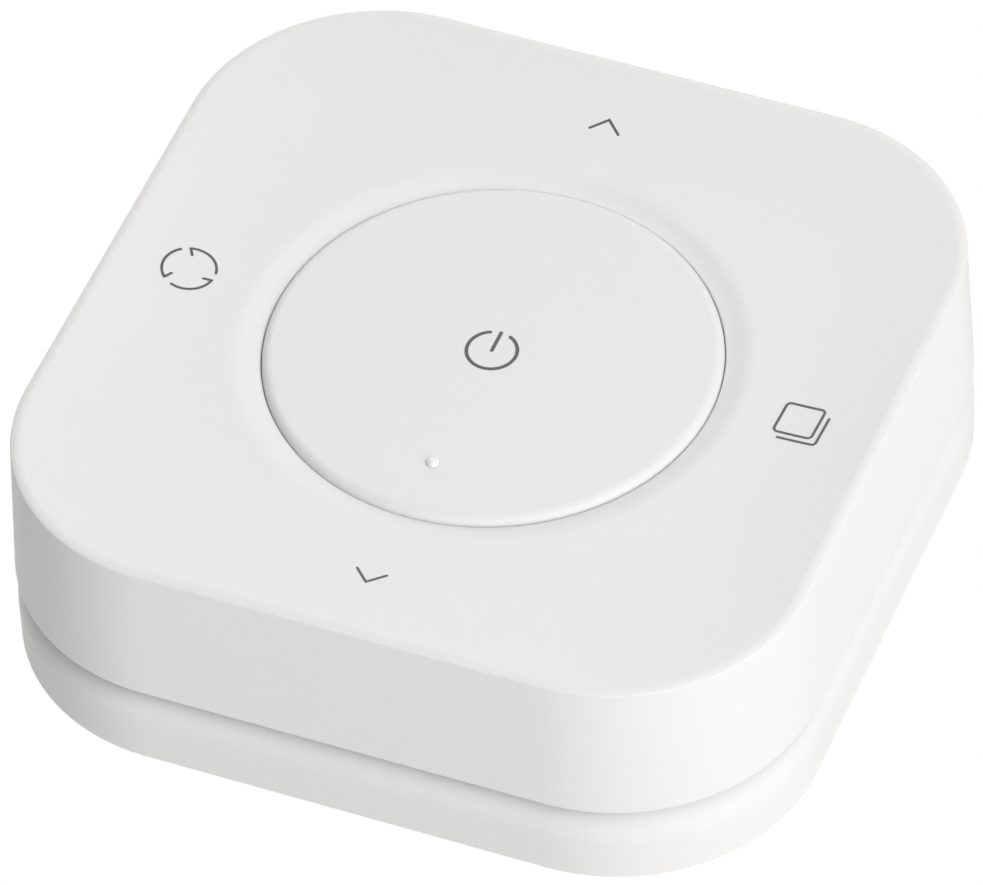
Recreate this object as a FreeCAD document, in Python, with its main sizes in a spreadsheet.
"""A square remote control switch with a rocking cover and a round power button.

The cover rests on a gimbal and rocks four ways, towards up, down, left and right. The round
button in its middle slides down inside it. Each of the five presses works a small tactile
switch on the circuit board, and a coin cell sits behind a turning door in the underside.

Everything is in millimetres. The origin is in the middle of the underside, where the feet
meet the table. +Z points up, +Y towards the up mark and +X towards the right-hand mark.
"""
import FreeCAD, Part
import math
import os
import re

import Sketcher

SIZES = {
    # Cover, the square shell that the thumb rocks
    "cover_half": 32.5,
    "corner_radius": 16.0,
    "cover_height": 12.7,
    "cover_draft": 0.45,
    "cover_wall": 1.8,
    "cover_ceiling": 2.2,
    "cover_edge_round": 0.8,
    "cover_rib_height": 1.6,
    "collar_depth": 0.5,
    "collar_width": 2.8,
    "crease_land": 0.2,
    "hollow_depth": 1.0,
    "hollow_straight": 1.5,
    "dish_land": 0.3,
    "dish_slope": 19.0,
    "dish_cone": 1.15,
    "dish_blend": 1.15,
    # Base, the shell that stands on the table
    "foot_proud": 0.3,
    "base_shoulder": 3.1,
    "base_wall": 1.8,
    "base_roof": 1.8,
    "travel_gap": 0.6,
    # Bottom plate and the screws that hold it
    "floor_thickness": 1.6,
    "floor_gap": 0.15,
    "base_screw_inset": 11.5,
    "base_boss_radius": 3.0,
    "screw_pad_height": 1.2,
    "foot_radius": 4.5,
    "foot_recess": 0.6,
    "foot_gap": 0.1,
    "rib_thickness": 1.0,
    "base_rib_height": 1.4,
    # Screws
    "screw_radius": 1.0,
    "screw_head_radius": 1.9,
    "screw_head_height": 1.2,
    "screw_bite": 3.4,
    "screw_hole_gap": 0.12,
    "screw_cross": 0.45,
    # Coin cell and its turning door
    "cell_radius": 10.0,
    "cell_height": 3.2,
    "cell_cap_radius": 8.7,
    "cell_step": 0.35,
    "cell_rest_gap": 0.1,
    "cell_roof_gap": 0.4,
    "door_flange": 0.75,
    "door_sole": 1.2,
    "door_wall": 1.7,
    "ledge_width": 1.4,
    "door_gap": 0.2,
    "ledge_thickness": 0.8,
    "lug_height": 0.9,
    "lug_reach": 1.3,
    "lug_width": 5.0,
    "lug_clearance": 0.1,
    "door_turn": 40.0,
    "stop_gap": 1.0,
    "stop_width": 1.2,
    "coin_slot_length": 15.0,
    "coin_slot_width": 2.0,
    "coin_slot_depth": 0.6,
    "well_wall": 1.2,
    "well_gap": 0.4,
    # Sheet-metal contacts
    "contact_sheet": 0.25,
    "contact_width": 4.0,
    "contact_foot": 2.4,
    "window_gap": 0.6,
    "spring_finger": 6.0,
    # Circuit board and what is soldered to it
    "board_standoff": 0.6,
    "board_thickness": 1.0,
    "board_edge_gap": 1.85,
    "board_screw_inset": 15.5,
    "standoff_radius": 2.6,
    "locator_inset": 9.5,
    "locator_across": 9.0,
    "locator_radius": 1.2,
    "locator_rise": 0.5,
    "locator_gap": 0.1,
    "chip_half": 2.5,
    "chip_height": 0.85,
    "can_length": 8.0,
    "can_width": 6.0,
    "can_height": 1.5,
    "crystal_length": 3.2,
    "crystal_width": 2.5,
    "crystal_height": 0.8,
    "capacitor_length": 1.6,
    "capacitor_width": 0.8,
    "capacitor_height": 0.8,
    "capacitor_pitch": 2.0,
    "antenna_length": 7.0,
    "antenna_width": 2.0,
    "antenna_height": 0.9,
    "antenna_inset": 3.0,
    "led_half": 0.8,
    "led_height": 0.6,
    # Tactile switches
    "switch_inset": 8.5,
    "case_half": 3.0,
    "case_chamfer": 0.6,
    "case_height": 2.6,
    "case_bore_depth": 1.6,
    "leg_reach": 1.1,
    "leg_width": 0.7,
    "leg_place": 2.0,
    "leg_sheet": 0.2,
    "rivet_radius": 0.4,
    "rivet_height": 0.15,
    "stem_radius": 1.75,
    "stem_rise": 0.9,
    "stem_depth": 1.2,
    "stem_gap": 0.06,
    "stem_chamfer": 0.25,
    "press_clearance": 0.05,
    "press_pad_radius": 1.5,
    "press_fin_length": 6.0,
    "press_fin_thickness": 0.8,
    "press_fin_height": 1.3,
    # Gimbal
    "pivot_drop": 2.0,
    "ring_wall": 1.9,
    "ring_height": 2.6,
    "pin_radius": 0.8,
    "pin_gap": 0.05,
    "ear_switch_gap": 1.85,
    "ear_gap": 0.25,
    "ear_thickness": 2.6,
    "ear_half": 1.75,
    "slot_gap": 0.5,
    # Rocker plate under the cover
    "rocker_thickness": 1.4,
    "rocker_gap": 0.25,
    "rocker_boss": 2.1,
    "rocker_screw_inset": 12.0,
    "rocker_boss_radius": 2.8,
    "sleeve_radius": 3.4,
    "sleeve_height": 1.3,
    # Power button
    "surround_width": 14.6,
    "button_gap": 0.2,
    "button_drop": 1.1,
    "button_rim": 0.8,
    "button_top": 1.3,
    "button_wall": 1.5,
    "button_rib_height": 0.9,
    "button_rib_thickness": 0.8,
    "button_rib_start": 6.0,
    "button_rib_count": 6,
    "flange_reach": 1.0,
    "flange_thickness": 0.7,
    "stop_clearance": 0.05,
    "post_radius": 2.0,
    "post_gap": 0.08,
    "spring_radius": 4.6,
    "spring_wire": 0.25,
    "spring_turns": 2.5,
    # Light window in the button
    "window_radius": 0.55,
    "window_dome": 0.22,
    "pipe_radius": 1.0,
    "pipe_clearance": 0.5,
    "pipe_hole_gap": 0.3,
    "pipe_ring_gap": 0.9,
}

# Heights above the table, each worked up from the one below or down from the one above
FLOOR_BOTTOM = "foot_proud"
FLOOR_TOP = "(foot_proud + floor_thickness)"
SCREW_SEAT = f"({FLOOR_TOP} + screw_pad_height)"
FOOT_TOP = "(foot_proud + foot_recess)"
LUG_BOTTOM = f"({FLOOR_TOP} + lug_clearance)"
LUG_TOP = f"({LUG_BOTTOM} + lug_height)"
CELL_BOTTOM = "(foot_proud + door_sole + cell_rest_gap)"
CELL_TOP = f"({CELL_BOTTOM} + cell_height)"
CAVITY_TOP = f"({CELL_TOP} + cell_roof_gap)"
BASE_TOP = f"({CAVITY_TOP} + base_roof)"
BOARD_BOTTOM = f"({BASE_TOP} + board_standoff)"
BOARD_TOP = f"({BOARD_BOTTOM} + board_thickness)"
STEM_TOP = f"({BOARD_TOP} + case_height + stem_rise)"
PRESS_TIP = f"({STEM_TOP} + press_clearance)"
COVER_EDGE = f"({BASE_TOP} + travel_gap)"
COVER_TOP = f"({COVER_EDGE} + cover_height)"
HOLLOW_LOW = f"({COVER_TOP} - hollow_depth)"
DISH_FALL = "(dish_cone * tan(dish_slope * 1 deg) + dish_blend * tan(dish_slope / 2 * 1 deg))"
DISH_EDGE = f"({HOLLOW_LOW} - {DISH_FALL})"
CEILING = f"({COVER_TOP} - cover_ceiling)"
COLLAR_BOTTOM = f"({CEILING} - collar_depth)"
ROCKER_TOP = f"({CEILING} - rocker_boss)"
ROCKER_BOTTOM = f"({ROCKER_TOP} - rocker_thickness)"
PIVOT = f"({ROCKER_BOTTOM} - pivot_drop)"
BUTTON_TOP = f"({COVER_TOP} - button_drop)"
BUTTON_UNDER = f"({BUTTON_TOP} - button_top)"
FLANGE_TOP = f"({COLLAR_BOTTOM} - stop_clearance)"

# Places and widths that pieces share, each worked in from the side of the cover
BASE_SCREW_PLACE = "(cover_half - base_screw_inset)"
BOARD_SCREW_PLACE = "(cover_half - board_screw_inset)"
ROCKER_SCREW_PLACE = "(cover_half - rocker_screw_inset)"
LOCATOR_PLACE = "(cover_half - locator_inset)"
SWITCH_PLACE = "(cover_half - switch_inset)"
BASE_HALF_INSIDE = "(cover_half - base_wall)"
BOARD_INSET = "(cover_wall + cover_draft + board_edge_gap)"
ROCKER_INSET = "(cover_wall + cover_draft + rocker_gap)"
EAR_INNER = f"({SWITCH_PLACE} - case_half - ear_switch_gap - ear_thickness)"
RING_OUTER = f"({EAR_INNER} - ear_gap)"
RING_INNER = f"({RING_OUTER} - ring_wall)"
LED_PLACE = f"({RING_INNER} - pipe_ring_gap - pipe_radius)"
CHIP_PLACE = "(case_half + leg_reach + chip_half)"
BUTTON_RADIUS = "(cover_half - surround_width)"
HOLE_RADIUS = f"({BUTTON_RADIUS} + button_gap)"
DISH_RIM = f"({HOLE_RADIUS} + dish_cone + dish_blend)"
CREASE_INSET = "(cover_draft + cover_edge_round + crease_land)"
WELL_RADIUS = "(cell_radius + well_gap)"
NECK_RADIUS = f"({WELL_RADIUS} + door_wall)"
OPENING_RADIUS = f"({NECK_RADIUS} + door_gap)"
FLANGE_RADIUS = f"({NECK_RADIUS} + ledge_width)"

# The arcs that stop the door's lugs, by their radii and by their angles from the X axis
STOP_INNER = f"({OPENING_RADIUS} + door_gap)"
STOP_OUTER = f"({NECK_RADIUS} + lug_reach + stop_width)"
LUG_SPREAD = f"atan((lug_width / 2 + stop_gap) / {NECK_RADIUS})"
STOP_START = f"(90 + door_turn + {LUG_SPREAD} / 1 deg)"
STOP_END = f"(210 - {LUG_SPREAD} / 1 deg)"

doc = FreeCAD.newDocument("RemoteControlSwitch")
sheet = doc.addObject("Spreadsheet::Sheet", "Sizes")
for row, (alias, size) in enumerate(SIZES.items(), start=1):
    sheet.set(f"A{row}", alias)
    sheet.set(f"B{row}", str(size))
    sheet.setAlias(f"B{row}", alias)
doc.recompute()

pieces = []


def cells(expression):
    """The expression with each size's name pointed at its cell."""
    return re.sub(r"[a-z]\w*", lambda word: f"Sizes.{word[0]}" if word[0] in SIZES else word[0],
                  expression)


def number(expression):
    """What the expression comes to with the sizes as they stand."""
    return float(sheet.evalExpression(cells(expression)))


def new_body(label):
    """An empty body for one piece. A body may hold several separate solids."""
    body = doc.addObject("PartDesign::Body", label)
    body.Label = label
    body.AllowCompound = True
    pieces.append(body)
    return body


def origin_part(body, role):
    """One of the body's own origin planes or axes."""
    return next(item for item in body.Origin.OriginFeatures if item.Role == role)


def new_sketch(body, name, plane="XY_Plane", across="0", along="0", lift="0"):
    """A sketch on an origin plane, its own origin moved across, along and off the plane."""
    outline = body.newObject("Sketcher::SketchObject", f"{body.Label}_{name}")
    outline.AttachmentSupport = [(origin_part(body, plane), "")]
    outline.MapMode = "FlatFace"
    for letter, expression in zip("xyz", (across, along, lift)):
        outline.setExpression(f"AttachmentOffset.Base.{letter}", cells(expression))
    return outline


def hold(outline, constraint, expression):
    """Add a constraint and bind its value to the sheet."""
    index = outline.addConstraint(constraint)
    outline.setExpression(f"Constraints[{index}]", cells(expression))


def hold_point(outline, geometry, end, x, y):
    """Hold one point of the sketch at x and y from the sketch's origin."""
    for kind, axis, expression in (("DistanceX", -2, x), ("DistanceY", -1, y)):
        value = number(expression)
        if value == 0:
            outline.addConstraint(Sketcher.Constraint("PointOnObject", geometry, end, axis))
        elif value > 0:
            constraint = Sketcher.Constraint(kind, -1, 1, geometry, end, value)
            hold(outline, constraint, expression)
        else:
            constraint = Sketcher.Constraint(kind, geometry, end, -1, 1, -value)
            hold(outline, constraint, f"-({expression})")


def arc_between(start, end, radius, turn):
    """The short arc from start to end, turning left for turn 1 and right for turn -1."""
    chord = end - start
    rise = math.sqrt(max(radius ** 2 - (chord.Length / 2) ** 2, 0))
    side = FreeCAD.Vector(-chord.y, chord.x, 0).normalize()
    centre = (start + end) * 0.5 + side * rise * turn
    first, last = (start, end) if turn > 0 else (end, start)
    angles = [math.atan2(point.y - centre.y, point.x - centre.x) for point in (first, last)]
    circle = Part.Circle(centre, FreeCAD.Vector(0, 0, 1), radius)
    return Part.ArcOfCircle(circle, angles[0], angles[1])


def draw_profile(outline, points):
    """A closed profile through points of x and y. A point that also has a radius and a turn
    starts an arc of that radius instead of a straight line."""
    count = len(points)
    base = outline.GeometryCount
    corners = [FreeCAD.Vector(number(point[0]), number(point[1]), 0) for point in points]
    ends = []
    for i, point in enumerate(points):
        start, end = corners[i], corners[(i + 1) % count]
        if len(point) == 2:
            outline.addGeometry(Part.LineSegment(start, end), False)
            ends.append((1, 2))
        else:
            outline.addGeometry(arc_between(start, end, number(point[2]), point[3]), False)
            ends.append((1, 2) if point[3] > 0 else (2, 1))
    for i in range(count):
        after = (i + 1) % count
        outline.addConstraint(
            Sketcher.Constraint("Coincident", base + i, ends[i][1], base + after, ends[after][0]))
    for i, point in enumerate(points):
        hold_point(outline, base + i, ends[i][0], point[0], point[1])
        if len(point) > 2:
            constraint = Sketcher.Constraint("Radius", base + i, number(point[2]))
            hold(outline, constraint, point[2])


def polar(radius, angle):
    """The x and y of a point at that radius and angle."""
    return (f"{radius} * cos({angle} * 1 deg)", f"{radius} * sin({angle} * 1 deg)")


def draw_circle(outline, radius, x="0", y="0"):
    """A circle of that radius about x and y."""
    centre = FreeCAD.Vector(number(x), number(y), 0)
    circle = Part.Circle(centre, FreeCAD.Vector(0, 0, 1), number(radius))
    index = outline.addGeometry(circle, False)
    hold(outline, Sketcher.Constraint("Radius", index, number(radius)), radius)
    hold_point(outline, index, 3, x, y)


def draw_rectangle(outline, left, right, low, high):
    """A rectangle with its sides along the sketch's axes."""
    draw_profile(outline, [(left, low), (right, low), (right, high), (left, high)])


def draw_round_square(outline, half, radius):
    """A square about the sketch's origin with round corners."""
    points = []
    for x_side, y_side in ((1, -1), (1, 1), (-1, 1), (-1, -1)):
        wide, tall = f"{x_side} * ({half})", f"{y_side} * ({half})"
        narrow, short = f"{x_side} * ({half} - {radius})", f"{y_side} * ({half} - {radius})"
        if x_side * y_side < 0:
            points += [(narrow, tall, radius, 1), (wide, short)]
        else:
            points += [(wide, short, radius, 1), (narrow, tall)]
    draw_profile(outline, points)


def extrude(body, name, outline, length, kind="Pad", flip=False, centred=False):
    """A pad or pocket of a sketch. A pocket cuts against the sketch's normal unless flipped."""
    feature = body.newObject(f"PartDesign::{kind}", f"{body.Label}_{name}")
    feature.Profile = outline
    feature.setExpression("Length", cells(length))
    feature.Reversed = flip
    if centred:
        feature.SideType = "Symmetric"
    doc.recompute()
    return feature


def turn(body, name, outline, kind="Revolution"):
    """A full revolution or groove of a sketch about its own upright axis."""
    feature = body.newObject(f"PartDesign::{kind}", f"{body.Label}_{name}")
    feature.Profile = outline
    feature.ReferenceAxis = (outline, ["V_Axis"])
    feature.Angle = 360
    doc.recompute()
    return feature


def around(body, name, features, count):
    """Copies of the features, evenly spaced about the Z axis."""
    pattern = body.newObject("PartDesign::PolarPattern", f"{body.Label}_{name}")
    pattern.Originals = features
    pattern.Axis = (origin_part(body, "Z_Axis"), [""])
    pattern.Angle = 360
    pattern.Occurrences = count
    body.Tip = pattern
    doc.recompute()
    return pattern


def soften(body, name, size, chosen, kind="Fillet"):
    """A fillet or chamfer on the edges of the body's last feature that chosen picks."""
    last = body.Tip
    edges = [f"Edge{i + 1}" for i, edge in enumerate(last.Shape.Edges) if chosen(edge)]
    feature = body.newObject(f"PartDesign::{kind}", f"{body.Label}_{name}")
    feature.Base = (last, edges)
    feature.setExpression("Radius" if kind == "Fillet" else "Size", cells(size))
    doc.recompute()
    return feature


def at_height(height, reach="0"):
    """A test for edges that lie flat at that height, at least reach out from the Z axis."""
    level, least = number(height), number(reach)

    def chosen(edge):
        box = edge.BoundBox
        middle = edge.valueAt((edge.FirstParameter + edge.LastParameter) / 2)
        flat = abs(box.ZMin - level) < 1e-6 and abs(box.ZMax - level) < 1e-6
        return flat and math.hypot(middle.x, middle.y) > least
    return chosen


def make_screws(label, place, seat, tip, head_up):
    """Four pan-head screws with a cross recess, on a square pattern about the Z axis."""
    body = new_body(label)
    shank_end, head_end = (f"-({tip})", "screw_head_height")
    if not head_up:
        shank_end, head_end = (tip, "-screw_head_height")
    outline = new_sketch(body, "side", "XZ_Plane", across=place, along=seat, lift=f"-{place}")
    draw_profile(outline, [
        ("0", shank_end), ("screw_radius", shank_end), ("screw_radius", "0"),
        ("screw_head_radius", "0"), ("screw_head_radius", head_end), ("0", head_end)])
    shank = turn(body, "shank", outline)
    cross = new_sketch(body, "cross", across=place, along=place,
                       lift=f"{seat} + {head_end}")
    draw_rectangle(cross, "-screw_radius", "screw_radius", "-screw_cross / 2", "screw_cross / 2")
    slot = extrude(body, "slot", cross, "screw_head_height / 2", "Pocket", flip=not head_up)
    upright = new_sketch(body, "upright", across=place, along=place,
                         lift=f"{seat} + {head_end}")
    draw_rectangle(upright, "-screw_cross / 2", "screw_cross / 2", "-screw_radius", "screw_radius")
    second = extrude(body, "second_slot", upright, "screw_head_height / 2", "Pocket",
                     flip=not head_up)
    around(body, "set", [shank, slot, second], 4)


def make_base_shell():
    """The lower shell, open below: round shoulder, roof, screw bosses, ribs, cell well,
    standoffs and locating pins for the board, and the two ears that carry the gimbal."""
    body = new_body("base_shell")
    outline = new_sketch(body, "outline", lift=FLOOR_BOTTOM)
    draw_round_square(outline, "cover_half", "corner_radius")
    extrude(body, "block", outline, f"{BASE_TOP} - {FLOOR_BOTTOM}")
    soften(body, "shoulder", "base_shoulder", at_height(BASE_TOP))
    inside = new_sketch(body, "inside", lift=FLOOR_BOTTOM)
    draw_round_square(inside, BASE_HALF_INSIDE, "(corner_radius - base_wall)")
    extrude(body, "cavity", inside, f"{CAVITY_TOP} - {FLOOR_BOTTOM}", "Pocket", flip=True)
    soften(body, "inner_shoulder", "base_shoulder - base_wall", at_height(CAVITY_TOP))

    boss = new_sketch(body, "boss_circle", lift=CAVITY_TOP)
    draw_circle(boss, "base_boss_radius", BASE_SCREW_PLACE, BASE_SCREW_PLACE)
    bosses = extrude(body, "boss", boss, f"{CAVITY_TOP} - {SCREW_SEAT}", flip=True)
    pilot = new_sketch(body, "pilot_circle", lift=SCREW_SEAT)
    draw_circle(pilot, "screw_radius", BASE_SCREW_PLACE, BASE_SCREW_PLACE)
    pilots = extrude(body, "pilot", pilot, "screw_bite", "Pocket", flip=True)
    rib = new_sketch(body, "rib_outline", lift=CAVITY_TOP)
    draw_rectangle(rib, f"{WELL_RADIUS} + well_wall / 2", f"{BASE_HALF_INSIDE} + base_wall / 2",
                   "-rib_thickness / 2", "rib_thickness / 2")
    ribs = extrude(body, "rib", rib, "base_rib_height", flip=True)
    around(body, "bosses", [bosses, pilots, ribs], 4)

    well = new_sketch(body, "well_ring", lift=CAVITY_TOP)
    draw_circle(well, WELL_RADIUS)
    draw_circle(well, f"{WELL_RADIUS} + well_wall")
    extrude(body, "well", well, f"{CAVITY_TOP} - {LUG_TOP} - door_gap", flip=True)

    standoff = new_sketch(body, "standoff_circle", lift=BASE_TOP)
    draw_circle(standoff, "standoff_radius", BOARD_SCREW_PLACE, BOARD_SCREW_PLACE)
    standoffs = extrude(body, "standoff", standoff, "board_standoff")
    board_pilot = new_sketch(body, "board_pilot_circle", lift=BOARD_BOTTOM)
    draw_circle(board_pilot, "screw_radius", BOARD_SCREW_PLACE, BOARD_SCREW_PLACE)
    board_pilots = extrude(body, "board_pilot", board_pilot, "board_standoff + base_roof",
                           "Pocket")
    around(body, "standoffs", [standoffs, board_pilots], 4)
    locator = new_sketch(body, "locator_circle", lift=BASE_TOP)
    draw_circle(locator, "locator_radius", "locator_across", LOCATOR_PLACE)
    locators = extrude(body, "locator", locator,
                       "board_standoff + board_thickness + locator_rise")
    around(body, "locators", [locators], 2)

    window = new_sketch(body, "window_outline", lift=CAVITY_TOP)
    draw_rectangle(window, "-spring_finger", "contact_foot",
                   "-contact_width / 2 - window_gap", "contact_width / 2 + window_gap")
    extrude(body, "window", window, "base_roof", "Pocket", flip=True)
    slot = new_sketch(body, "side_slot_outline", lift=f"{LUG_TOP} + door_gap")
    draw_rectangle(slot, "-contact_width / 2 - window_gap", "contact_width / 2 + window_gap",
                   "cell_radius - window_gap", "cell_radius + contact_foot + window_gap")
    extrude(body, "side_slot", slot, f"{BASE_TOP} - {LUG_TOP} - door_gap", "Pocket", flip=True)

    ear = new_sketch(body, "ear_side", "YZ_Plane", lift=EAR_INNER)
    draw_profile(ear, [
        ("-ear_half", f"{BASE_TOP} - base_roof / 2"), ("ear_half", f"{BASE_TOP} - base_roof / 2"),
        ("ear_half", PIVOT, "ear_half", 1), ("0", f"{PIVOT} + ear_half", "ear_half", 1),
        ("-ear_half", PIVOT)])
    draw_circle(ear, "pin_radius + pin_gap", "0", PIVOT)
    ears = extrude(body, "ear", ear, "ear_thickness")
    around(body, "ears", [ears], 2)


def make_bottom_plate():
    """The flat plate that closes the base, with foot recesses, the door's opening, and three
    raised arcs whose ends stop the door's lugs when it is locked and when it is free."""
    body = new_body("bottom_plate")
    outline = new_sketch(body, "outline", lift=FLOOR_BOTTOM)
    draw_round_square(outline, f"{BASE_HALF_INSIDE} - floor_gap",
                      "(corner_radius - base_wall - floor_gap)")
    extrude(body, "sheet", outline, "floor_thickness")
    raised = new_sketch(body, "pad_circle", lift=FLOOR_TOP)
    draw_circle(raised, "base_boss_radius", BASE_SCREW_PLACE, BASE_SCREW_PLACE)
    raised_pad = extrude(body, "screw_pad", raised, "screw_pad_height")
    recess = new_sketch(body, "recess_circle", lift=FLOOR_BOTTOM)
    draw_circle(recess, "foot_radius + foot_gap", BASE_SCREW_PLACE, BASE_SCREW_PLACE)
    recesses = extrude(body, "foot_recess", recess, "foot_recess", "Pocket", flip=True)
    head = new_sketch(body, "head_circle", lift=FOOT_TOP)
    draw_circle(head, "screw_head_radius + screw_hole_gap", BASE_SCREW_PLACE,
                BASE_SCREW_PLACE)
    heads = extrude(body, "head_seat", head, "screw_head_height", "Pocket", flip=True)
    hole = new_sketch(body, "hole_circle", lift=FOOT_TOP)
    draw_circle(hole, "screw_radius + screw_hole_gap", BASE_SCREW_PLACE, BASE_SCREW_PLACE)
    holes = extrude(body, "hole", hole, "floor_thickness + screw_pad_height", "Pocket", flip=True)
    around(body, "corners", [raised_pad, recesses, heads, holes], 4)

    flange = new_sketch(body, "flange_circle", lift=FLOOR_BOTTOM)
    draw_circle(flange, f"{FLANGE_RADIUS} + door_gap")
    extrude(body, "door_recess", flange, "floor_thickness - ledge_thickness", "Pocket", flip=True)
    opening = new_sketch(body, "opening_circle", lift=FLOOR_BOTTOM)
    draw_circle(opening, OPENING_RADIUS)
    extrude(body, "opening", opening, "floor_thickness", "Pocket", flip=True)
    notch = new_sketch(body, "notch_outline", lift=FLOOR_BOTTOM)
    draw_rectangle(notch, "-lug_width / 2 - door_gap", "lug_width / 2 + door_gap",
                   f"{NECK_RADIUS} / 2", f"{NECK_RADIUS} + lug_reach + door_gap")
    notches = extrude(body, "notch", notch, "floor_thickness", "Pocket", flip=True)
    stop = new_sketch(body, "stop_arc", lift=FLOOR_TOP)
    draw_profile(stop, [
        polar(STOP_OUTER, STOP_START) + (STOP_OUTER, 1), polar(STOP_OUTER, STOP_END),
        polar(STOP_INNER, STOP_END) + (STOP_INNER, -1), polar(STOP_INNER, STOP_START)])
    stops = extrude(body, "stop", stop, "lug_clearance + lug_height")
    around(body, "notches", [notches, stops], 3)


def make_battery_door():
    """The round door: flange, cup for the cell, three lugs and a coin slot. Its lugs stand
    turned away from the notches of the plate, so the door is shown locked."""
    body = new_body("battery_door")
    side = new_sketch(body, "side", "XZ_Plane")
    draw_profile(side, [
        ("0", FLOOR_BOTTOM), (FLANGE_RADIUS, FLOOR_BOTTOM),
        (FLANGE_RADIUS, f"{FLOOR_BOTTOM} + door_flange"),
        (NECK_RADIUS, f"{FLOOR_BOTTOM} + door_flange"), (NECK_RADIUS, LUG_TOP),
        (WELL_RADIUS, LUG_TOP), (WELL_RADIUS, f"{FLOOR_BOTTOM} + door_sole"),
        ("0", f"{FLOOR_BOTTOM} + door_sole")])
    turn(body, "cup", side)
    lug = new_sketch(body, "lug_outline", lift=LUG_BOTTOM)
    root, tip = (f"{NECK_RADIUS} - door_wall / 2", f"({NECK_RADIUS} + lug_reach)")
    corner = f"sqrt({tip} ^ 2 - (lug_width / 2) ^ 2)"
    draw_profile(lug, [
        ("-lug_width / 2", root), ("lug_width / 2", root),
        ("lug_width / 2", corner, tip, 1), ("-lug_width / 2", corner)])
    lugs = extrude(body, "lug", lug, "lug_height")
    around(body, "lugs", [lugs], 3)
    slot = new_sketch(body, "coin_slot_outline", lift=FLOOR_BOTTOM)
    draw_profile(slot, [
        ("-coin_slot_length / 2", "-coin_slot_width / 2"),
        ("coin_slot_length / 2", "-coin_slot_width / 2", "coin_slot_width / 2", 1),
        ("coin_slot_length / 2 + coin_slot_width / 2", "0", "coin_slot_width / 2", 1),
        ("coin_slot_length / 2", "coin_slot_width / 2"),
        ("-coin_slot_length / 2", "coin_slot_width / 2", "coin_slot_width / 2", 1),
        ("-coin_slot_length / 2 - coin_slot_width / 2", "0", "coin_slot_width / 2", 1)])
    extrude(body, "coin_slot", slot, "coin_slot_depth", "Pocket", flip=True)
    body.setExpression(".Placement.Rotation.Angle", cells("door_turn * 1 deg"))


def make_rubber_feet():
    """Four round feet, each stuck in its recess over a screw."""
    body = new_body("rubber_feet")
    side = new_sketch(body, "side", "XZ_Plane", across=BASE_SCREW_PLACE,
                      lift=f"-{BASE_SCREW_PLACE}")
    draw_profile(side, [
        ("0", "0"), ("foot_radius - foot_proud", "0"), ("foot_radius", "foot_proud"),
        ("foot_radius", FOOT_TOP), ("0", FOOT_TOP)])
    foot = turn(body, "foot", side)
    around(body, "set", [foot], 4)


def make_coin_cell():
    """The coin cell: a wide can below and the smaller negative cap on top."""
    body = new_body("coin_cell")
    side = new_sketch(body, "side", "XZ_Plane")
    draw_profile(side, [
        ("0", CELL_BOTTOM), ("cell_radius - cell_step", CELL_BOTTOM, "cell_step", 1),
        ("cell_radius", f"{CELL_BOTTOM} + cell_step"),
        ("cell_radius", f"{CELL_TOP} - 2 * cell_step"),
        ("cell_radius - cell_step", f"{CELL_TOP} - cell_step"),
        ("cell_cap_radius", f"{CELL_TOP} - cell_step"), ("cell_cap_radius", CELL_TOP),
        ("0", CELL_TOP)])
    turn(body, "can", side)


def make_contacts():
    """The two sheet-metal contacts that hang from the board: a sprung finger on the cell's
    cap and an upright blade against its side."""
    finger = new_body("negative_contact")
    side = new_sketch(finger, "side", "XZ_Plane")
    bend, low = (f"({BOARD_BOTTOM} - 2 * contact_sheet)", f"({CELL_TOP} + contact_sheet)")
    draw_profile(side, [
        ("contact_foot", BOARD_BOTTOM), ("0", BOARD_BOTTOM), ("-contact_sheet", bend),
        ("-spring_finger / 2", low), ("-spring_finger", f"{low} + contact_sheet"),
        ("-spring_finger", low), ("-spring_finger / 2", CELL_TOP),
        ("0", f"{bend} - contact_sheet / 2"),
        ("contact_sheet", f"{BOARD_BOTTOM} - contact_sheet"),
        ("contact_foot", f"{BOARD_BOTTOM} - contact_sheet")])
    extrude(finger, "strip", side, "contact_width", centred=True)

    blade = new_body("positive_contact")
    edge = new_sketch(blade, "side", "YZ_Plane")
    draw_profile(edge, [
        ("cell_radius", f"{LUG_TOP} + 2 * door_gap"),
        ("cell_radius + contact_sheet", f"{LUG_TOP} + 2 * door_gap"),
        ("cell_radius + contact_sheet", f"{BOARD_BOTTOM} - contact_sheet"),
        ("cell_radius + contact_foot", f"{BOARD_BOTTOM} - contact_sheet"),
        ("cell_radius + contact_foot", BOARD_BOTTOM), ("cell_radius", BOARD_BOTTOM)])
    extrude(blade, "strip", edge, "contact_width", centred=True)


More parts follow.
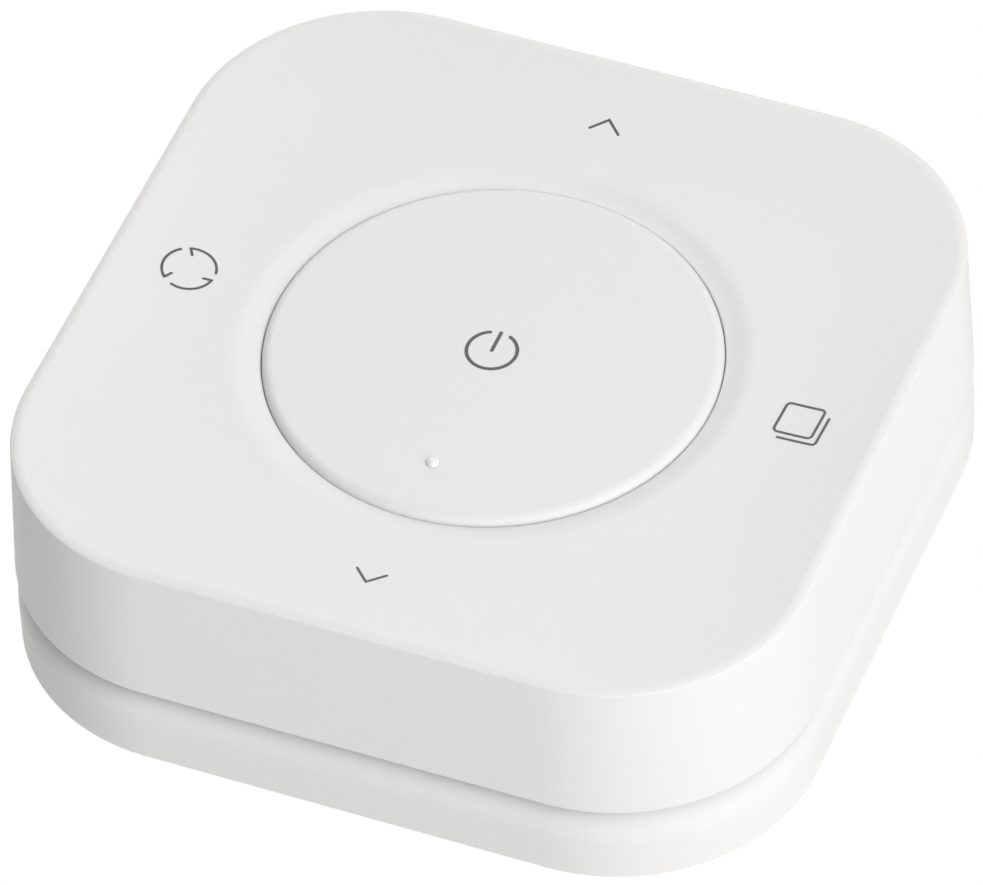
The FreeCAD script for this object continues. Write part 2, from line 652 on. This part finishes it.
def make_circuit_board():
    """The board, with slots for the ears of the gimbal and holes for screws and pins."""
    body = new_body("circuit_board")
    outline = new_sketch(body, "outline", lift=BOARD_BOTTOM)
    draw_round_square(outline, f"(cover_half - {BOARD_INSET})", f"(corner_radius - {BOARD_INSET})")
    extrude(body, "sheet", outline, "board_thickness")
    slot = new_sketch(body, "ear_slot_outline", lift=BOARD_BOTTOM)
    draw_rectangle(slot, f"{EAR_INNER} - slot_gap", f"{EAR_INNER} + ear_thickness + slot_gap",
                   "-ear_half - slot_gap", "ear_half + slot_gap")
    slots = extrude(body, "ear_slot", slot, "board_thickness", "Pocket", flip=True)
    around(body, "ear_slots", [slots], 2)
    hole = new_sketch(body, "screw_hole_circle", lift=BOARD_BOTTOM)
    draw_circle(hole, "screw_radius + screw_hole_gap", BOARD_SCREW_PLACE, BOARD_SCREW_PLACE)
    holes = extrude(body, "screw_hole", hole, "board_thickness", "Pocket", flip=True)
    around(body, "screw_holes", [holes], 4)
    pin = new_sketch(body, "pin_hole_circle", lift=BOARD_BOTTOM)
    draw_circle(pin, "locator_radius + locator_gap", "locator_across", LOCATOR_PLACE)
    pins = extrude(body, "pin_hole", pin, "board_thickness", "Pocket", flip=True)
    around(body, "pin_holes", [pins], 2)


def make_board_block(label, length, width, height, x, y):
    """One soldered part: a block on the board with chamfered top edges."""
    body = new_body(label)
    outline = new_sketch(body, "outline", across=x, along=y, lift=BOARD_TOP)
    draw_rectangle(outline, f"-({length}) / 2", f"({length}) / 2", f"-({width}) / 2",
                   f"({width}) / 2")
    extrude(body, "block", outline, height)
    soften(body, "top_chamfer", f"({height}) / 6", at_height(f"{BOARD_TOP} + {height}"), "Chamfer")


def make_capacitors():
    """Four small ceramic capacitors in a row beside the radio chip."""
    body = new_body("capacitors")
    outline = new_sketch(body, "outlines", across=CHIP_PLACE, along=f"-{CHIP_PLACE}",
                         lift=BOARD_TOP)
    for step in range(4):
        left = f"({step} - 1.5) * capacitor_pitch - capacitor_width / 2"
        draw_rectangle(outline, left, f"{left} + capacitor_width", "-capacitor_length / 2",
                       "capacitor_length / 2")
    extrude(body, "blocks", outline, "capacitor_height")


def make_switch(side, x, y):
    """One tactile switch: the case with its legs and rivets, and the stem that is pressed."""
    case = new_body(f"switch_case_{side}")
    outline = new_sketch(case, "outline", across=x, along=y, lift=BOARD_TOP)
    draw_rectangle(outline, "-case_half", "case_half", "-case_half", "case_half")
    extrude(case, "block", outline, "case_height")

    def upright(edge):
        return edge.BoundBox.ZLength > number("case_height") / 2
    soften(case, "corners", "case_chamfer", upright, "Chamfer")
    bore = new_sketch(case, "bore_circle", across=x, along=y, lift=f"{BOARD_TOP} + case_height")
    draw_circle(bore, "stem_radius + stem_gap")
    extrude(case, "bore", bore, "case_bore_depth", "Pocket")
    rivets = new_sketch(case, "rivet_circles", across=x, along=y,
                        lift=f"{BOARD_TOP} + case_height")
    legs = new_sketch(case, "leg_outlines", across=x, along=y, lift=BOARD_TOP)
    for x_side in (-1, 1):
        for y_side in (-1, 1):
            draw_circle(rivets, "rivet_radius", f"{x_side} * leg_place", f"{y_side} * leg_place")
            root, toe = (f"{x_side} * case_half / 2", f"{x_side} * (case_half + leg_reach)")
            left, right = (root, toe) if x_side > 0 else (toe, root)
            draw_rectangle(legs, left, right, f"{y_side} * leg_place - leg_width / 2",
                           f"{y_side} * leg_place + leg_width / 2")
    extrude(case, "rivets", rivets, "rivet_height")
    extrude(case, "legs", legs, "leg_sheet")

    stem = new_body(f"switch_stem_{side}")
    profile = new_sketch(stem, "side", "XZ_Plane", across=x, lift=f"-({y})")
    low = f"({BOARD_TOP} + case_height - stem_depth)"
    draw_profile(profile, [
        ("0", low), ("stem_radius", low), ("stem_radius", f"{STEM_TOP} - stem_chamfer"),
        ("stem_radius - stem_chamfer", STEM_TOP), ("0", STEM_TOP)])
    turn(stem, "plunger", profile)


def make_tilt_ring():
    """The gimbal ring that carries the cover, with a bore for each of its four pins."""
    body = new_body("tilt_ring")
    side = new_sketch(body, "side", "XZ_Plane")
    draw_rectangle(side, RING_INNER, RING_OUTER, f"{PIVOT} - ring_height / 2",
                   f"{PIVOT} + ring_height / 2")
    turn(body, "hoop", side)
    for name, plane in (("bore_across", "YZ_Plane"), ("bore_along", "XZ_Plane")):
        bore = new_sketch(body, f"{name}_circle", plane)
        draw_circle(bore, "pin_radius", "0", PIVOT)
        extrude(body, name, bore, f"3 * {RING_OUTER}", "Pocket", centred=True)

    pins = new_body("pivot_pins")
    circle = new_sketch(pins, "circle", "YZ_Plane", lift=f"{RING_INNER} + ear_gap")
    draw_circle(circle, "pin_radius", "0", PIVOT)
    pin = extrude(pins, "pin", circle, "ring_wall + ear_thickness - ear_gap")
    around(pins, "set", [pin], 4)


def make_rocker_plate():
    """The plate screwed under the cover, with press pads, a sleeve for the button's post and
    two ears that hang on the ring."""
    body = new_body("rocker_plate")
    outline = new_sketch(body, "outline", lift=ROCKER_BOTTOM)
    draw_round_square(outline, f"(cover_half - {ROCKER_INSET})",
                      f"(corner_radius - {ROCKER_INSET})")
    extrude(body, "sheet", outline, "rocker_thickness")
    sleeve = new_sketch(body, "sleeve_circle", lift=ROCKER_TOP)
    draw_circle(sleeve, "sleeve_radius")
    extrude(body, "sleeve", sleeve, "sleeve_height")
    bore = new_sketch(body, "bore_circle", lift=ROCKER_BOTTOM)
    draw_circle(bore, "post_radius + post_gap")
    extrude(body, "bore", bore, "rocker_thickness + sleeve_height", "Pocket", flip=True)
    pipe = new_sketch(body, "pipe_circle", lift=ROCKER_BOTTOM)
    draw_circle(pipe, "pipe_radius + pipe_hole_gap", "0", f"-{LED_PLACE}")
    extrude(body, "pipe_hole", pipe, "rocker_thickness", "Pocket", flip=True)

    press = new_sketch(body, "press_circle", lift=ROCKER_BOTTOM)
    draw_circle(press, "press_pad_radius", SWITCH_PLACE)
    presses = extrude(body, "press_pad", press, f"{ROCKER_BOTTOM} - {PRESS_TIP}", flip=True)
    fin = new_sketch(body, "press_fin_outline", across=SWITCH_PLACE, lift=ROCKER_BOTTOM)
    draw_rectangle(fin, "-press_fin_thickness / 2", "press_fin_thickness / 2",
                   "-press_fin_length / 2", "press_fin_length / 2")
    fins = extrude(body, "press_fin", fin, "press_fin_height", flip=True)
    hole = new_sketch(body, "screw_hole_circle", lift=ROCKER_BOTTOM)
    draw_circle(hole, "screw_radius + screw_hole_gap", ROCKER_SCREW_PLACE,
                ROCKER_SCREW_PLACE)
    holes = extrude(body, "screw_hole", hole, "rocker_thickness", "Pocket", flip=True)
    around(body, "corners", [presses, fins, holes], 4)

    ear = new_sketch(body, "ear_side", "XZ_Plane", lift=EAR_INNER)
    middle = f"({ROCKER_TOP} - rocker_thickness / 2)"
    draw_profile(ear, [
        ("ear_half", middle), ("-ear_half", middle), ("-ear_half", PIVOT, "ear_half", 1),
        ("0", f"{PIVOT} - ear_half", "ear_half", 1), ("ear_half", PIVOT)])
    draw_circle(ear, "pin_radius + pin_gap", "0", PIVOT)
    ears = extrude(body, "ear", ear, "ear_thickness")
    around(body, "ears", [ears], 2)


def hollow_top(body):
    """Cut the gently hollow top: flat at its edge, where it is a round square, and falling ever
    more slowly to a level, nearly round bed about the dished ring."""
    outer = (f"(cover_half - {CREASE_INSET})", f"(corner_radius - {CREASE_INSET})")
    inner = (f"({DISH_RIM} + dish_land)", f"({DISH_RIM} + dish_land - hollow_straight)")
    sections = []
    for step in (0, 0.5, 1):
        fall = 1 - (1 - step) ** 2
        section = new_sketch(body, f"hollow_{len(sections)}",
                             lift=f"{COVER_TOP} - {fall} * hollow_depth")
        half, radius = (f"({1 - step} * {outside} + {step} * {inside})"
                        for outside, inside in zip(outer, inner))
        draw_round_square(section, half, radius)
        sections.append(section)
    bowl = body.newObject("PartDesign::SubtractiveLoft", f"{body.Label}_hollow_top")
    bowl.Profile = sections[0]
    bowl.Sections = sections[1:]
    doc.recompute()


def make_top_cover():
    """The square shell with its hollow top, dished ring, collar, screw bosses and ribs."""
    body = new_body("top_cover")
    outline = new_sketch(body, "outline", lift=COVER_EDGE)
    draw_round_square(outline, "cover_half", "corner_radius")
    block = extrude(body, "block", outline, "cover_height")
    block.setExpression("TaperAngle", cells("-atan(cover_draft / cover_height)"))
    doc.recompute()
    soften(body, "edge_round", "cover_edge_round", at_height(COVER_TOP))
    hollow_top(body)
    inside = new_sketch(body, "inside", lift=COVER_EDGE)
    draw_round_square(inside, "(cover_half - cover_wall)", "(corner_radius - cover_wall)")
    hollow = extrude(body, "hollow", inside, "cover_height - cover_ceiling", "Pocket", flip=True)
    hollow.setExpression("TaperAngle", cells("-atan(cover_draft / cover_height)"))
    doc.recompute()

    collar = new_sketch(body, "collar_ring", lift=CEILING)
    draw_circle(collar, HOLE_RADIUS)
    draw_circle(collar, f"{HOLE_RADIUS} + collar_width")
    extrude(body, "collar", collar, "collar_depth", flip=True)
    rib = new_sketch(body, "rib_outline", lift=CEILING)
    near, far = (f"({HOLE_RADIUS} + collar_width / 2) / sqrt(2)",
                 "(cover_half - corner_radius + (corner_radius - cover_wall) / sqrt(2))")
    off = "rib_thickness / sqrt(8)"
    draw_profile(rib, [
        (f"{near} + {off}", f"{near} - {off}"), (f"{far} + {off}", f"{far} - {off}"),
        (f"{far} - {off}", f"{far} + {off}"), (f"{near} - {off}", f"{near} + {off}")])
    ribs = extrude(body, "rib", rib, "cover_rib_height", flip=True)
    boss = new_sketch(body, "boss_circle", lift=CEILING)
    draw_circle(boss, "rocker_boss_radius", ROCKER_SCREW_PLACE, ROCKER_SCREW_PLACE)
    bosses = extrude(body, "boss", boss, "rocker_boss", flip=True)
    pilot = new_sketch(body, "pilot_circle", lift=ROCKER_TOP)
    draw_circle(pilot, "screw_radius", ROCKER_SCREW_PLACE, ROCKER_SCREW_PLACE)
    pilots = extrude(body, "pilot", pilot, "rocker_boss + cover_ceiling / 3", "Pocket", flip=True)
    around(body, "bosses", [ribs, bosses, pilots], 4)

    hole = new_sketch(body, "hole_circle", lift=COVER_TOP)
    draw_circle(hole, HOLE_RADIUS)
    extrude(body, "hole", hole, "cover_ceiling + collar_depth", "Pocket")
    dish = new_sketch(body, "dish_side", "XZ_Plane")
    draw_profile(dish, [
        (HOLE_RADIUS, DISH_EDGE),
        (f"{HOLE_RADIUS} + dish_cone", f"{DISH_EDGE} + dish_cone * tan(dish_slope * 1 deg)",
         "dish_blend / sin(dish_slope * 1 deg)", -1),
        (DISH_RIM, HOLLOW_LOW), (DISH_RIM, COVER_TOP),
        (f"{HOLE_RADIUS} - button_gap", COVER_TOP), (f"{HOLE_RADIUS} - button_gap", DISH_EDGE)])
    turn(body, "dish", dish, "Groove")


def make_power_button():
    """The round button: rounded rim, skirt with a retaining flange, centre post and ribs."""
    body = new_body("power_button")
    side = new_sketch(body, "side", "XZ_Plane")
    flange_low = f"({FLANGE_TOP} - flange_thickness)"
    draw_profile(side, [
        ("0", PRESS_TIP), ("post_radius", PRESS_TIP), ("post_radius", BUTTON_UNDER),
        (f"{BUTTON_RADIUS} - button_wall", BUTTON_UNDER),
        (f"{BUTTON_RADIUS} - button_wall", flange_low),
        (f"{BUTTON_RADIUS} + flange_reach", flange_low), (f"{BUTTON_RADIUS} + flange_reach", FLANGE_TOP),
        (BUTTON_RADIUS, FLANGE_TOP),
        (BUTTON_RADIUS, f"{BUTTON_TOP} - button_rim", "button_rim", 1),
        (f"{BUTTON_RADIUS} - button_rim", BUTTON_TOP), ("0", BUTTON_TOP)])
    turn(body, "cap", side)
    rib = new_sketch(body, "rib_outline", lift=BUTTON_UNDER)
    draw_rectangle(rib, "button_rib_start", f"{BUTTON_RADIUS} - button_wall / 2",
                   "-button_rib_thickness / 2", "button_rib_thickness / 2")
    ribs = extrude(body, "rib", rib, "button_rib_height", flip=True)
    around(body, "ribs", [ribs], SIZES["button_rib_count"])
    window = new_sketch(body, "window_circle", lift=BUTTON_UNDER)
    draw_circle(window, "window_radius", "0", f"-{LED_PLACE}")
    extrude(body, "window", window, "button_top", "Pocket", flip=True)

    pipe = new_body("light_pipe")
    profile = new_sketch(pipe, "side", "XZ_Plane", lift=LED_PLACE)
    tip = f"({BOARD_TOP} + led_height + pipe_clearance)"
    bow = "((window_radius ^ 2 + window_dome ^ 2) / (2 * window_dome))"
    draw_profile(profile, [
        ("0", tip), ("pipe_radius", tip), ("pipe_radius", BUTTON_UNDER),
        ("window_radius", BUTTON_UNDER), ("window_radius", BUTTON_TOP, bow, 1),
        ("0", f"{BUTTON_TOP} + window_dome")])
    turn(pipe, "rod", profile)

    spring = new_body("button_spring")
    wire = new_sketch(spring, "wire", "XZ_Plane")
    draw_circle(wire, "spring_wire", "spring_radius", f"{ROCKER_TOP} + spring_wire")
    coil = spring.newObject("PartDesign::AdditiveHelix", "button_spring_coil")
    coil.Profile = wire
    coil.ReferenceAxis = (wire, ["V_Axis"])
    coil.Mode = "height-turns-angle"
    coil.setExpression("Height", cells(f"{BUTTON_UNDER} - {ROCKER_TOP} - 2 * spring_wire"))
    coil.setExpression("Turns", cells("spring_turns"))
    doc.recompute()


make_base_shell()
make_bottom_plate()
make_screws("base_screws", BASE_SCREW_PLACE, f"({FOOT_TOP} + screw_head_height)",
            f"({SCREW_SEAT} - {FOOT_TOP} - screw_head_height + screw_bite)", head_up=False)
make_rubber_feet()
make_battery_door()
make_coin_cell()
make_contacts()
make_circuit_board()
make_screws("board_screws", BOARD_SCREW_PLACE, BOARD_TOP,
            "(board_thickness + board_standoff + base_roof)", head_up=True)
make_board_block("shield_can", "can_length", "can_width", "can_height", f"-{CHIP_PLACE}", CHIP_PLACE)
make_board_block("radio_chip", "2 * chip_half", "2 * chip_half", "chip_height",
                 CHIP_PLACE, CHIP_PLACE)
make_board_block("crystal", "crystal_length", "crystal_width", "crystal_height",
                 f"-{CHIP_PLACE}", f"-{CHIP_PLACE}")
make_board_block("chip_antenna", "antenna_length", "antenna_width", "antenna_height",
                 f"-{LOCATOR_PLACE} / 2", f"cover_half - {BOARD_INSET} - antenna_inset")
make_capacitors()
make_board_block("status_led", "2 * led_half", "led_half", "led_height", "0", f"-{LED_PLACE}")
SWITCHES = {
    "up": ("0", SWITCH_PLACE),
    "down": ("0", f"-{SWITCH_PLACE}"),
    "left": (f"-{SWITCH_PLACE}", "0"),
    "right": (SWITCH_PLACE, "0"),
    "centre": ("0", "0"),
}
for side_name, (switch_x, switch_y) in SWITCHES.items():
    make_switch(side_name, switch_x, switch_y)
make_tilt_ring()
make_rocker_plate()
make_top_cover()
make_screws("rocker_screws", ROCKER_SCREW_PLACE, ROCKER_BOTTOM,
            "(rocker_thickness + rocker_boss)", head_up=False)
make_power_button()

doc.recompute()
for item in doc.Objects:
    if "Invalid" in item.State or "Error" in item.State:
        raise SystemExit(f"{item.Label} failed: {item.State}")
os.makedirs("parts", exist_ok=True)
for piece in pieces:
    shape = piece.Shape
    if shape.isNull() or not shape.isValid() or not shape.Solids:
        raise SystemExit(f"{piece.Label} has no valid solid")
    shape.exportStep(f"parts/{piece.Label}.step")
    print(f"{piece.Label}: {len(shape.Solids)} solid, {shape.Volume:.1f} mm3")
print(f"{len(pieces)} pieces")
